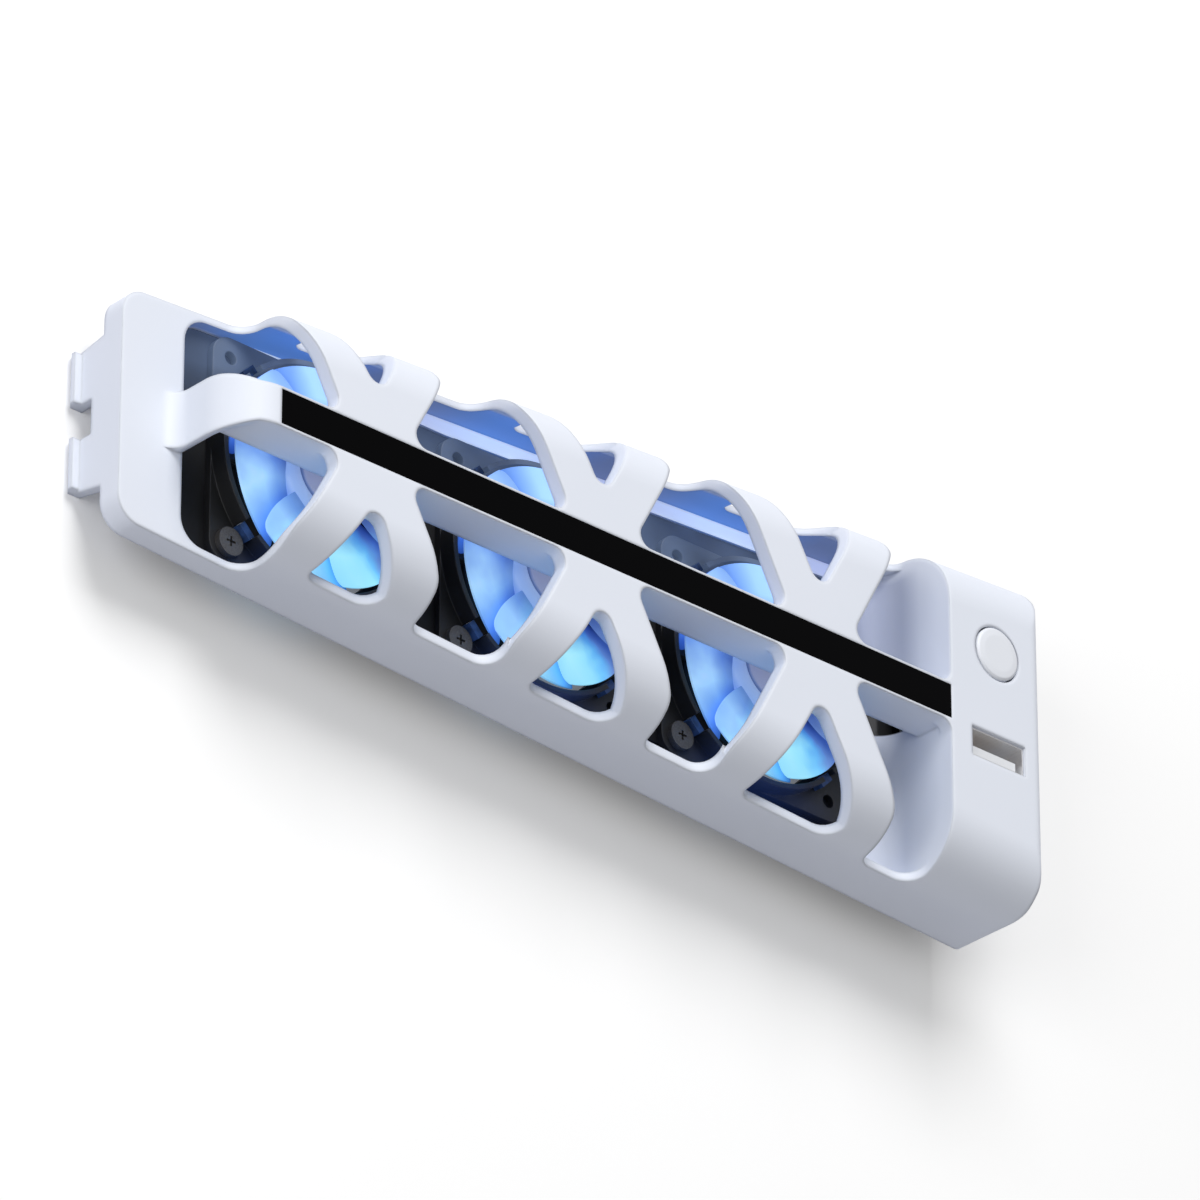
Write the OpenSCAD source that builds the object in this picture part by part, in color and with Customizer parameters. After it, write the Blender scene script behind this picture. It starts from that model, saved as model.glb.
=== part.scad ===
// Clip-on cooling bar for a console: a tapered white shell with three small fans,
// a push button, a pass-through socket and a plug on its back.
// It lies on its back with the grille up: X runs along the bar, Z points out of the grille.

/* [Shell] */
// Length of the bar from end wall to end wall
bar_len = 206; // [204:1:215]
// Height of the narrow left end beyond the fan size
left_room = 0.6; // [0.6:0.2:8]
// Height of the wide right end beyond the fan size
right_room = 25.4; // [21:0.2:31]
// Depth of the housing from its back plane to the spine
bar_depth = 22; // [21.5:0.5:25]
// Radius of the two long front edges
edge_r = 12.5; // [11:0.5:13]
// Thickness of the side walls
wall_t = 1.5; // [1.2:0.1:1.6]
// Thickness of the front sheet
sheet_t = 3; // [2.6:0.1:3.4]
// Width of the ledge inside the long walls, on which the back plate seats
ledge_w = 3; // [2:0.1:3.4]
// Corner radius of the narrow end
left_corner_r = 5; // [4:0.5:7]
// Corner radius of the wide end
right_corner_r = 2.5; // [2:0.5:4]

/* [Left flange] */
// Width of the flat flange at the narrow end
flange_w = 14; // [12:0.5:16]
// Thickness of that flange in front of the back plane
flange_t = 5; // [4:0.5:6]
// Distance from the narrow end to where the inlay starts
strip_start = 22; // [21:0.5:25]
// Outer radius of the bend that brings the spine down to the flange
bend_r = 9.5; // [8.5:0.1:11]
// Radius of the fillet between that bend and the flange
foot_r = 3; // [1:0.5:4]

/* [Grille] */
// Half height of the spine
spine_half = 3.9; // [3.8:0.1:5]
// Depth of the spine
spine_d = 9; // [6:0.5:10]
// Half distance between the outer edges of a rib pair at the spine
rib_root = 7.3; // [6.5:0.1:9]
// Outward lean of the ribs, in mm per mm
rib_lean = 0.53; // [0.5:0.01:0.56]
// Distance from the spine axis to the tip of each small window
tip_y = 10.3; // [9.5:0.1:12]
// Half width gained per mm by the small windows
tip_lean = 0.56; // [0.5:0.02:0.6]
// Depth of the lower window rims below the spine face
rim_depth = 10; // [9:0.5:10.5]
// Depth of the upper window rims below the spine face
upper_depth = 14.5; // [12:0.5:15]
// Radius of the window corners
window_r = 2.5; // [1.5:0.5:4]

/* [Inlay] */
// Height of the black strip
inlay_h = 6.9; // [5:0.1:7.2]
// Thickness of the black strip
inlay_t = 1; // [0.6:0.1:1.4]

/* [Hooks] */
// How far the hooks reach behind the back plane
hook_len = 8; // [7.5:0.5:10]
// Thickness of the hook plates
hook_t = 2; // [1.8:0.1:2.6]
// Height of a hook plate at its root
hook_root = 30; // [26:0.5:34]
// Height of a hook plate at its tip
hook_tip = 27; // [22:0.5:30]
// Width of the notch between the two prongs
notch_w = 7; // [5:0.5:9]
// Depth of that notch
notch_d = 5; // [4:0.2:5.6]
// How far the hook lips stand out
lip_out = 1.6; // [1:0.1:2]

/* [Fans] */
// Side of the square fan flange
fan_size = 45; // [44:0.5:45.5]
// Height of a fan from its seat to the clearance over its rotor
fan_h = 8; // [8:0.2:8.6]
// Height of the duct ring round the blades
duct_h = 5; // [4.6:0.1:6.5]
// Share of the spare length of the bay in front of the first fan
lead_share = 0.22; // [0.15:0.01:0.3]
// Share of that spare length between two fans
gap_share = 0.24; // [0.2:0.01:0.3]
// Distance of the fan screws from the edges of the flange
hole_inset = 4; // [3.5:0.1:4.2]
// Wall of the fan duct
duct_wall = 1; // [0.8:0.1:1.4]
// Gap between blade tips and duct
tip_gap = 0.5; // [0.4:0.1:0.8]
// Radius of the rotor hub
hub_r = 10; // [9.6:0.1:10.6]
// Number of blades
blades = 7; // [5:1:9]
// Blade thickness
blade_t = 1; // [0.8:0.1:1.4]
// Radius of the camber of a blade
camber_r = 9; // [8.5:0.1:10]
// Radius of the rotor shaft
shaft_r = 1; // [0.9:0.05:1.2]
// Radial running clearance of the shaft
shaft_gap = 0.03; // [0.02:0.01:0.06]
// Air gap between magnet and stator
air_gap = 0.5; // [0.4:0.1:0.7]

/* [Back] */
// Thickness of the back plate
base_t = 2.4; // [2.2:0.1:2.8]
// Gap between the back plate and the shell walls
base_gap = 0.15; // [0.1:0.05:0.3]
// How far the edge of an air inlet stands inside the duct
inlet_lip = 1.1; // [0.6:0.1:2]
// Width of the inlet guard bars
guard_w = 2.4; // [2:0.2:3]
// Radius of the screw pilot holes
pilot_r = 1.1; // [1:0.05:1.2]

/* [Right pod] */
// Length of the closed pod at the wide end
pod_len = 23.5; // [22.5:0.5:26]
// Thickness of the wall between pod and fans
bulk_t = 1.8; // [1.4:0.1:2.2]
// Radius of the fillet at the foot of that wall
ramp_r = 6; // [4:0.5:7]
// Radius of the button cap
button_r = 5.2; // [4.8:0.1:5.6]
// Gap around the button cap
button_gap = 0.35; // [0.3:0.05:0.5]
// Travel of the button
button_travel = 0.7; // [0.4:0.1:0.8]
// Height of the button above the spine axis
button_y = 14; // [13:0.5:16]
// Height of the socket above the spine axis
port_y = -6; // [-8:0.5:-5]
// Thickness of the main board
board_t = 1.6; // [1.2:0.1:1.8]
// Height of the main board
board_h = 50; // [46:1:54]

/* [Hidden] */
$fn = 72;
x_l = -bar_len / 2;
x_r = bar_len / 2;
z_back = hook_len;
z_top = hook_len + bar_depth;
z_rim = z_top - rim_depth;
z_upper = z_top - upper_depth;
z_flange = z_back + flange_t;
z_base = z_back + base_t;
z_fan = z_base;
x_base = x_r - max(wall_t, hook_t) - base_gap;
left_h = fan_size + left_room;
right_h = fan_size + right_room;
h_mid = (left_h + right_h) / 4;
taper = (right_h - left_h) / 2 / bar_len;
x_in = x_l + flange_w;
x_strip = x_l + strip_start;
x_pod = x_r - pod_len;
x_board = x_pod + bulk_t + (pod_len - bulk_t - wall_t) / 2;
fan_ids = [0, 1, 2];
spare = x_pod - x_in - 3 * fan_size;
fan_pitch = fan_size + gap_share * spare;
fan_first = flange_w + lead_share * spare + fan_size / 2;
fan_hole_pitch = fan_size - 2 * hole_inset;
ear_t = 1.5;
ear_r = 4;
rib_bend = 6;
foot_in = 5;
tip_in = 1;
rim_r = 2.5;
leaf_round = 4.5;
tip_round = 5;
upper_round = 7;
pod_rim_r = 5;
pod_rim_drop = 1.5;
end_rim_r = 4;
spine_flare = 1.7;
flare_in = 1.2;
flare_len = 4;
flare_r = 3;
ledge_t = 0.6;
ledge_gap = 0.4;
ramp_t = 0.6;
relief_w = 6;
relief_h = 6.5;
relief_y = -1;
relief_up = 2.1;
wide = 20;
duct_r = fan_size / 2 - duct_wall;
tip_r = duct_r - tip_gap;
inlet_r = duct_r - inlet_lip;
guard_r = (hub_r + inlet_r) / 2 + guard_w / 4;
seat_t = 1;
seat_rim = 0.5;
strut_w = 2.4;
strut_t = 1.2;
blade_y = 4;
blade_span = 8.4;
blade_drop = 5.4;
cup_z = 2;
cup_t = 1;
rotor_top = fan_h - 0.6;
cup_in = hub_r - 1;
press_gap = 0.02;
magnet_t = 1.1;
stator_r = cup_in - magnet_t - air_gap;
tube_r = 3.2;
tube_h = 5.2;
collar_r = 2.2;
collar_z = tube_h + 0.4;
bearing_r = 2.3;
bearing_z = 0.9;
bearing_h = 4.1;
shaft_z = bearing_z + 0.3;
shaft_top = rotor_top - 0.4;
magnet_h = 3.8;
stator_z = 2.8;
stator_t = 2;
pole_w = 1.8;
shoe_w = 5.2;
shoe_t = 1;
coil_t = 0.75;
coil_gap = 0.05;
coil_len = stator_r - tube_r - 2 * shoe_t - 0.8;
fan_board_r = 8.4;
fan_board_t = 0.8;
screw_r = 1;
head_r = 1.7;
fan_head_r = 2.7;
head_t = 1.2;
hole_gap = 0.3;
recess_w = 0.44;
recess_d = 0.6;
tip_left = 0.7;
boss_r = 2.2;
boss_in = wall_t + base_gap + head_r + 0.35;
boss_h = 5;
boss_shift = 22;
web_t = 1.6;
lip_h = 2.2;
tab_w = 23;
tab_t = 1.2;
tab_len = 2;
tab_gap = 0.2;
led_w = 3.2;
led_h = 2.2;
led_gap = 0.1;
led_len = fan_hole_pitch / sqrt(2) - fan_head_r - 0.26 - duct_r - led_gap;
post_r = 2.4;
board_gap = 1;
groove_d = 0.6;
ribbon_t = 0.4;
ribbon_w = 1.6;
ribbon_y = -fan_size / 2 + 1;
ribbon_end = 6;
riser_w = 1.2;
riser_y = -7;
port_in_x = 12.5;
port_in_y = 5.12;
shell_t = 0.32;
port_depth = 14;
z_port = z_top - 0.5;
z_board = z_port - port_depth - board_t;
plug_y = 4;
plug_x = 12;
plug_h = 4.5;
contact_x = [-3.5, -1, 1, 3.5];
contact_w = 1;
contact_len = 8;
z_cap = z_top - sheet_t - 0.3;
z_stem = z_board + board_t + 5.4;

// Half height of the bar at x
function h_at(x) = h_mid + taper * x;
// Axis of fan i
function fan_x(i) = x_l + fan_first + i * fan_pitch;
// Outer edge of a rib at height y, measured from the fan axis
function rib_x(y) = rib_root + rib_lean * (y - spine_half);
// Foot of the ribs of fan i, just inside the side wall
function foot_y(i) = h_at(fan_x(i)) - foot_in;
// Inner edge of the ribs of fan i at the wall
function tip_x(i) = tip_lean * (h_at(fan_x(i)) - tip_in - tip_y);
function unit(v) = v / norm(v);
// Arc that rounds corner b between a and c
function corner(a, b, c, r) =
  let (u = unit(a - b), w = unit(c - b), half = acos(u * w) / 2,
       m = b + unit(u + w) * r / sin(half), p = b + u * r / tan(half), q = b + w * r / tan(half),
       s = atan2(p[1] - m[1], p[0] - m[0]), e = atan2(q[1] - m[1], q[0] - m[0]),
       d = e - s > 180 ? e - s - 360 : e - s < -180 ? e - s + 360 : e - s)
  r == 0 ? [b] : [for (k = [0 : 8]) m + r * [cos(s + d * k / 8), sin(s + d * k / 8)]];
// Polygon with each corner rounded by its own radius
function rounded(p, r) =
  let (n = len(p)) [for (i = [0 : n - 1]) each corner(p[(i + n - 1) % n], p[i], p[(i + 1) % n], r[i])];
// Outline of a w by h rectangle about the origin
function box(w, h) = [[-w / 2, -h / 2], [w / 2, -h / 2], [w / 2, h / 2], [-w / 2, h / 2]];
// Tapered outline between x0 and x1, inset by d from the long sides
function taper_pts(x0, x1, d) =
  [[x0, d - h_at(x0)], [x1, d - h_at(x1)], [x1, h_at(x1) - d], [x0, h_at(x0) - d]];
// Places of the board screws
board_y = 1;
board_inset = 4;
board_spots = [for (s = [-1, 1]) [x_board, board_y + s * (board_h / 2 - board_inset)]];

module both_sides() {
  children();
  mirror([0, 1, 0]) children();
}

// Copies at the back plate screws
module at_cover_spots() {
  both_sides()
    for (x = [fan_x(1) + boss_shift, fan_x(2) + boss_shift, x_board])
      translate([x, h_at(x) - boss_in, 0]) children();
}

// Shape in the X-Z plane, stretched along Y
module along_y(w) {
  rotate([90, 0, 0]) linear_extrude(w, center = true) children();
}

// Half of the bar's section below its long edge, its face lowered by t
module half_section(t, r) {
  translate([-100, -10]) square([100 - r, z_top - t + 10]);
  translate([-100, -10]) square([100, z_top - t - r + 10]);
  translate([-r, z_top - t - r]) circle(r);
}

// Endless tapered bar with rounded long edges, its long sides inset by d
module bar_solid(d, t, r) {
  intersection_for (s = [0, 1])
    mirror([0, s, 0]) translate([0, h_mid - d, 0]) rotate([90, 0, 90 + atan(taper)])
      linear_extrude(2 * bar_len, center = true) half_section(t, r);
}

// Side view of the shell: full height, then the bend, then the low flange
module side_view() {
  polygon(rounded([[x_strip, z_back], [x_r, z_back], [x_r, z_top], [x_strip, z_top]], [0, 0, 2.5, 0]));
  translate([x_l, z_back]) square([strip_start, flange_t]);
  intersection() {
    translate([x_strip, z_top - bend_r]) circle(bend_r);
    translate([x_strip - bend_r, z_back]) square([bend_r, bar_depth]);
  }
  translate([x_strip - bend_r, z_back]) square([bend_r, bar_depth - bend_r]);
  translate([x_strip - bend_r - foot_r, z_flange]) difference() {
    square(foot_r);
    translate([0, foot_r]) circle(foot_r);
  }
}

// Side view of the fan bay inside the shell, with a fillet at the foot of the pod's wall
module bay_view() {
  r = bend_r - sheet_t;
  difference() {
    union() {
      translate([x_in, z_back - 1]) square([x_pod - x_in, bar_depth - sheet_t - r + 1]);
      translate([x_in + r, z_back]) square([x_pod - x_in - r, bar_depth - sheet_t]);
      translate([x_in + r, z_top - sheet_t - r]) circle(r);
    }
    translate([x_pod - ramp_r, z_base + base_gap]) difference() {
      square([ramp_r + 1, ramp_r + ramp_t]);
      translate([0, ramp_r + ramp_t]) circle(ramp_r);
    }
  }
}

// Core of the spine, left standing in the fan bay
module spine_core() {
  translate([x_l, -spine_half, z_top - spine_d]) cube([x_pod - x_l, 2 * spine_half, spine_d]);
}

// Relief through the pod's wall and its fillet, in the shade of the spine
module pod_relief() {
  translate([x_pod - ramp_r - 1, relief_y, z_base + relief_up])
    cube([ramp_r + bulk_t + 2, relief_w, relief_h]);
}

// Free space inside the shell: the fan bay and the pod
module hollow() {
  intersection() {
    bar_solid(wall_t, sheet_t, edge_r - 2);
    translate([0, 0, z_back - 1])
      linear_extrude(bar_depth + 1)
        polygon(rounded(taper_pts(x_in, x_r - wall_t, wall_t), [left_corner_r, 1, 1, left_corner_r]));
    union() {
      along_y(2 * right_h) bay_view();
      translate([x_pod + bulk_t, -right_h, z_back - 1]) cube([pod_len, 2 * right_h, bar_depth + 1]);
      translate([x_pod - 1, -right_h, z_back - 1]) cube([bulk_t + 2, 2 * right_h, base_t + 1 + base_gap]);
      pod_relief();
    }
  }
}

// Cut that fits plan outline p and side outline v
module window(p, v) {
  intersection() {
    translate([0, 0, z_back]) linear_extrude(2 * bar_depth) polygon(p);
    along_y(2 * right_h) polygon(v);
  }
}

// Plan outline of a window whose long edges lean like the ribs
function leaf_pts(x0, x1, y0, y1, k0, k1) =
  [[x0 + k0 * rib_root, spine_half], [x1 - k1 * rib_root, spine_half],
   [x1 - k1 * rib_x(y1), y1], [x1 - k1 * rib_x(y1), right_h],
   [x0 + k0 * rib_x(y0), right_h], [x0 + k0 * rib_x(y0), y0]];

// Side outline above z: from x0 to x1 at the rim with rounded corners, wide open over them
function deep_pts(x0, x1, z, r0, r1) =
  rounded([[x0, z], [x1, z], [x1, z + r1 + 0.1], [x1 + wide, z + r1 + 0.1], [x1 + wide, 2 * z_top],
    [x0 - wide, 2 * z_top], [x0 - wide, z + r0 + 0.1], [x0, z + r0 + 0.1]], [r0, r1, 0, 0, 0, 0, 0, 0]);

// Leaf windows between two fans with rims at z, and the one beside the pod with its rim at pod_z
module leaf_windows(z, pod_z, pod_r) {
  rs = [window_r, window_r, rib_bend, 0, 0, rib_bend];
  for (i = [0, 1])
    window(rounded(leaf_pts(fan_x(i), fan_x(i + 1), foot_y(i), foot_y(i + 1), 1, 1), rs),
      deep_pts(fan_x(i) + rib_x(foot_y(i)), fan_x(i + 1) - rib_x(foot_y(i + 1)), z, rim_r, leaf_round));
  window(rounded(leaf_pts(fan_x(2), x_pod, foot_y(2), foot_y(2), 1, 0),
      [window_r, window_r, 0, 0, 0, rib_bend]),
    deep_pts(fan_x(2) + rib_x(foot_y(2)), x_pod, pod_z, rim_r, pod_r));
}

// Small windows between the ribs of each fan, with rims at z rounded by r on the right
module tip_windows(z, r) {
  for (i = fan_ids)
    window(rounded([[fan_x(i), tip_y], [fan_x(i) + tip_lean * (right_h - tip_y), right_h],
        [fan_x(i) - tip_lean * (right_h - tip_y), right_h]], [window_r, 0, 0]),
      deep_pts(fan_x(i) - tip_x(i), fan_x(i) + tip_x(i), z, rim_r, r));
}

// Open end beside the flange: clears everything above the flange but the spine
module end_window() {
  x1 = fan_x(0) - rib_x(foot_y(0));
  y0 = spine_half + spine_flare;
  window(rounded([[x_l - wide, y0], [x_in - flare_in, y0], [x_in + flare_len, spine_half],
      [fan_x(0) - rib_root, spine_half], [x1, foot_y(0)], [x1, right_h], [x_l - wide, right_h]],
      [0, flare_r, flare_r, window_r, rib_bend, 0, 0]),
    deep_pts(x_l - wide, x1, z_flange, 0, end_rim_r));
}

// Ledge along both long walls, clear of the fans
module ledge() {
  difference() {
    translate([0, 0, z_base]) linear_extrude(ledge_t)
      polygon(taper_pts(x_in, x_pod + bulk_t / 2, wall_t / 2));
    translate([0, 0, z_back]) {
      linear_extrude(bar_depth) polygon(taper_pts(x_l, x_r, wall_t + ledge_w));
      translate([x_l, -fan_size / 2 - ledge_gap, 0]) cube([bar_len, fan_size + 2 * ledge_gap, bar_depth]);
    }
  }
}

// Hook plate with two prongs and outward lips, for the end at x, s = -1 left or 1 right
module hook(x, s) {
  translate([x, 0, 0]) {
    difference() {
      rotate([90, 0, -90 * s]) linear_extrude(hook_t)
        polygon([[-hook_root / 2, z_back + hook_t], [-hook_root / 2, z_back], [-hook_tip / 2, 0],
          [hook_tip / 2, 0], [hook_root / 2, z_back], [hook_root / 2, z_back + hook_t]]);
      translate([-hook_t - 1, -notch_w / 2, -1]) cube([2 * hook_t + 2, notch_w, notch_d + 1]);
    }
    both_sides()
      translate([0, hook_tip / 2, 0]) rotate([90, 0, 0]) linear_extrude((hook_tip - notch_w) / 2)
        polygon([[0, 0], [s * lip_out * 0.4, 0], [s * lip_out, 0.6 * hook_t], [s * lip_out, lip_h],
          [0, lip_h]]);
  }
}

// White grille shell with spine, ribs, flange, pod and hooks
module front_cover() {
  color("white") difference() {
    union() {
      difference() {
        intersection() {
          bar_solid(0, 0, edge_r);
          linear_extrude(2 * z_top)
            polygon(rounded(taper_pts(x_l, x_r, 0),
              [left_corner_r, right_corner_r, right_corner_r, left_corner_r]));
          along_y(2 * right_h) side_view();
        }
        difference() {
          hollow();
          spine_core();
        }
        leaf_windows(z_upper, z_upper, rim_r);
        tip_windows(z_upper, upper_round);
        mirror([0, 1, 0]) {
          leaf_windows(z_rim, z_rim - pod_rim_drop, pod_rim_r);
          tip_windows(z_rim, tip_round);
        }
        both_sides() end_window();
      }
      ledge();
      hook(x_l, -1);
      hook(x_r, 1);
      at_cover_spots()
        translate([0, 0, z_base]) {
          cylinder(r = boss_r, h = boss_h);
          translate([-web_t / 2, 0, 0]) cube([web_t, boss_in - wall_t / 2, boss_h]);
        }
    }
    at_cover_spots()
      translate([0, 0, z_base - 1]) cylinder(r = pilot_r, h = boss_h);
    translate([x_strip, -inlay_h / 2, z_top - inlay_t]) cube([x_pod - x_strip, inlay_h, inlay_t + 1]);
    translate([x_board, button_y, z_top - sheet_t - 1]) cylinder(r = button_r + button_gap, h = sheet_t + 2);
    translate([x_board, port_y, z_top - sheet_t - 1])
      linear_extrude(sheet_t + 2) polygon(box(port_in_x + 2 * shell_t + 0.3, port_in_y + 2 * shell_t + 0.3));
    translate([x_in - tab_len - tab_gap, -tab_w / 2 - tab_gap, z_base - tab_t - tab_gap])
      cube([tab_len + 1, tab_w + 2 * tab_gap, tab_t + 2 * tab_gap]);
  }
}

// Gloss strip let into the spine
module spine_inlay() {
  color([0.02, 0.02, 0.03]) translate([x_strip + 0.1, -inlay_h / 2 + 0.05, z_top - inlay_t])
    cube([x_pod - x_strip - 0.2, inlay_h - 0.1, inlay_t]);
}

// Guarded air inlet: what is left standing inside the round opening
module inlet_guard() {
  cylinder(r = hub_r, h = base_t);
  difference() {
    cylinder(r = guard_r, h = base_t);
    translate([0, 0, -1]) cylinder(r = guard_r - guard_w * 0.7, h = base_t + 2);
  }
  for (a = [0, 90])
    rotate([0, 0, a]) translate([-inlet_r - 0.5, -guard_w / 2, 0]) cube([2 * inlet_r + 1, guard_w, base_t]);
}

// Back plate with guarded inlets, screw holes, board posts and plug slot
module rear_base() {
  color([0.06, 0.06, 0.07]) difference() {
    union() {
      difference() {
        translate([0, 0, z_back]) linear_extrude(base_t)
          polygon(rounded(taper_pts(x_in + base_gap, x_base, wall_t + base_gap),
            [left_corner_r, 1, 1, left_corner_r]));
        for (i = fan_ids)
          translate([fan_x(i), 0, z_back - 1]) cylinder(r = inlet_r, h = base_t + 2);
      }
      for (i = fan_ids)
        translate([fan_x(i), 0, z_back]) inlet_guard();
      translate([x_in - tab_len, -tab_w / 2, z_base - tab_t]) cube([2 * tab_len, tab_w, tab_t]);
      for (p = board_spots)
        translate([p[0], p[1], z_base - 0.5]) cylinder(r = post_r, h = z_board - z_base + 0.5);
    }
    at_cover_spots()
      translate([0, 0, z_back - 1]) {
        cylinder(r = screw_r + hole_gap, h = base_t + 2);
        cylinder(r = head_r + hole_gap / 2, h = head_t + 1.05);
      }
    for (i = fan_ids)
      translate([fan_x(i), 0, z_back + 0.5]) at_screws() cylinder(r = pilot_r, h = base_t);
    for (p = board_spots)
      translate([p[0], p[1], z_back + 0.5]) cylinder(r = pilot_r, h = z_board);
    translate([x_board, plug_y, z_back - 1])
      linear_extrude(base_t + 2) polygon(box(plug_x + 0.4, plug_h + 0.4));
    ribbon_path(groove_d, ribbon_w + 0.4, 0.2);
  }
}

// Run of the supply ribbon: along the fans, a branch under each, an end in the pod
module ribbon_path(d, w, e) {
  x0 = fan_x(0) - w / 2;
  translate([x0, ribbon_y - w / 2, z_base - d]) cube([x_board - ribbon_end + 2 + e - x0, w, d]);
  for (i = fan_ids)
    translate([fan_x(i) - w / 2, ribbon_y - w / 2, z_base - d])
      cube([w, riser_y - ribbon_y + w / 2 + 1 + e, d]);
}

// Flat supply ribbon in its groove, with a riser to each fan board and to the main board
module power_ribbon() {
  color([0.1, 0.1, 0.1]) {
    translate([0, 0, ribbon_t - groove_d]) ribbon_path(ribbon_t, ribbon_w, 0);
    for (i = fan_ids)
      translate([fan_x(i) - riser_w / 2, riser_y - riser_w / 2, z_base - groove_d])
        cube([riser_w, riser_w, groove_d + seat_t]);
    translate([x_board - ribbon_end, ribbon_y - riser_w / 2, z_base - groove_d])
      cube([ribbon_w, riser_w, groove_d + z_board - z_base]);
  }
}

module at_fan(i) {
  translate([fan_x(i), 0, z_fan]) children();
}

// Four copies at the fan's screw holes
module at_holes() {
  for (sx = [-1, 1], sy = [-1, 1])
    translate([sx * fan_hole_pitch / 2, sy * fan_hole_pitch / 2, 0]) children();
}

// Two copies at the corners where a screw holds the fan
module at_screws() {
  for (s = [-1, 1])
    translate([s * fan_hole_pitch / 2, s * fan_hole_pitch / 2, 0]) children();
}

// Black duct with corner ears, a seat on four struts and the bearing tube
module fan_frame(i) {
  color([0.05, 0.05, 0.06]) at_fan(i) {
    difference() {
      union() {
        cylinder(r = fan_size / 2, h = duct_h);
        linear_extrude(ear_t) polygon(rounded(box(fan_size, fan_size), ear_r * [1, 1, 1, 1]));
      }
      translate([0, 0, -1]) cylinder(r = duct_r, h = fan_h + 2);
      translate([0, 0, -1]) at_holes() cylinder(r = screw_r + hole_gap, h = ear_t + 2);
      for (a = [45 : 90 : 315])
        rotate([0, 0, a]) translate([duct_r - 1, -led_w / 2 - led_gap, ear_t])
          cube([duct_wall + 2, led_w + 2 * led_gap, duct_h]);
    }
    difference() {
      union() {
        cylinder(r = hub_r + seat_rim, h = seat_t);
        cylinder(r = tube_r, h = tube_h);
        for (a = [0 : 90 : 270])
          rotate([0, 0, a]) translate([hub_r, -strut_w / 2, 0])
            cube([duct_r - hub_r + duct_wall / 2, strut_w, strut_t]);
      }
      translate([0, 0, bearing_z]) cylinder(r = bearing_r + press_gap, h = tube_h);
      translate([0, riser_y, 0]) cube([riser_w + 0.4, riser_w + 0.4, 3 * seat_t], center = true);
    }
  }
}

// One cambered blade pointing along X, its crest at the top of its bend
module blade() {
  intersection() {
    translate([hub_r - 0.5, -camber_r * 0.58, -camber_r]) rotate([0, 90, 0]) difference() {
      cylinder(r = camber_r, h = tip_r);
      translate([0, 0, -1]) cylinder(r = camber_r - blade_t, h = tip_r + 2);
    }
    translate([0, blade_y - blade_span, -blade_drop]) cube([tip_r, blade_span, fan_h]);
    translate([0, 0, -fan_h]) cylinder(r = tip_r, h = 2 * fan_h);
  }
}

// Rotor: closed hub cup with cambered blades
module rotor(i) {
  color([0.75, 0.85, 1]) at_fan(i) difference() {
    union() {
      translate([0, 0, cup_z]) cylinder(r = hub_r, h = rotor_top - cup_z);
      translate([0, 0, shaft_top])
        for (k = [0 : blades - 1])
          rotate([0, 0, k * 360 / blades]) blade();
    }
    difference() {
      translate([0, 0, -1]) cylinder(r = cup_in, h = rotor_top - cup_t + 1);
      translate([0, 0, collar_z]) cylinder(r = collar_r, h = fan_h);
    }
    translate([0, 0, -1]) cylinder(r = shaft_r, h = shaft_top + 1);
  }
}

module shaft(i) {
  color("silver") at_fan(i) translate([0, 0, shaft_z]) cylinder(r = shaft_r, h = shaft_top - shaft_z);
}

// Plain bush pressed into the frame's tube
module bearing(i) {
  color([0.7, 0.55, 0.3]) at_fan(i) translate([0, 0, bearing_z]) difference() {
    cylinder(r = bearing_r, h = bearing_h);
    translate([0, 0, -1]) cylinder(r = shaft_r + shaft_gap, h = bearing_h + 2);
  }
}

// Ring magnet inside the hub cup
module magnet(i) {
  color([0.2, 0.2, 0.22]) at_fan(i) translate([0, 0, cup_z + 0.2]) difference() {
    cylinder(r = cup_in - press_gap, h = magnet_h);
    translate([0, 0, -1]) cylinder(r = cup_in - magnet_t, h = magnet_h + 2);
  }
}

// Four-pole core on the bearing tube
module stator(i) {
  color([0.45, 0.45, 0.47]) at_fan(i) translate([0, 0, stator_z]) difference() {
    union() {
      cylinder(r = tube_r + shoe_t + 0.2, h = stator_t);
      for (a = [45 : 90 : 315])
        rotate([0, 0, a]) translate([tube_r + shoe_t / 2, -pole_w / 2, 0])
          cube([stator_r - tube_r - shoe_t, pole_w, stator_t]);
      intersection() {
        difference() {
          cylinder(r = stator_r, h = stator_t);
          translate([0, 0, -1]) cylinder(r = stator_r - shoe_t, h = stator_t + 2);
        }
        for (a = [45, 135])
          rotate([0, 0, a]) translate([-hub_r, -shoe_w / 2, 0]) cube([2 * hub_r, shoe_w, stator_t]);
      }
    }
    translate([0, 0, -1]) cylinder(r = tube_r + press_gap, h = stator_t + 2);
  }
}

// Copper windings round the four poles
module coils(i) {
  color([0.75, 0.4, 0.2]) at_fan(i) for (a = [45 : 90 : 315])
    rotate([0, 0, a]) translate([(tube_r + stator_r + 0.2) / 2, 0, stator_z + stator_t / 2]) difference() {
      cube([coil_len, pole_w + 2 * coil_t + 2 * coil_gap, stator_t + coil_t + 2 * coil_gap], center = true);
      cube([2 * coil_len, pole_w + 2 * coil_gap, stator_t + 2 * coil_gap], center = true);
    }
}

// Round motor board on the seat
module fan_board(i) {
  color([0.1, 0.3, 0.15]) at_fan(i) translate([0, 0, seat_t]) difference() {
    cylinder(r = fan_board_r, h = fan_board_t);
    translate([0, 0, -1]) cylinder(r = tube_r + coil_gap, h = fan_board_t + 2);
  }
}

// Four side lights standing on the ears, in notches of the duct
module leds(i) {
  color([0.6, 0.85, 1]) at_fan(i) for (a = [45 : 90 : 315])
    rotate([0, 0, a]) translate([duct_r + led_gap, -led_w / 2, ear_t]) cube([led_len, led_w, led_h]);
}

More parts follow.
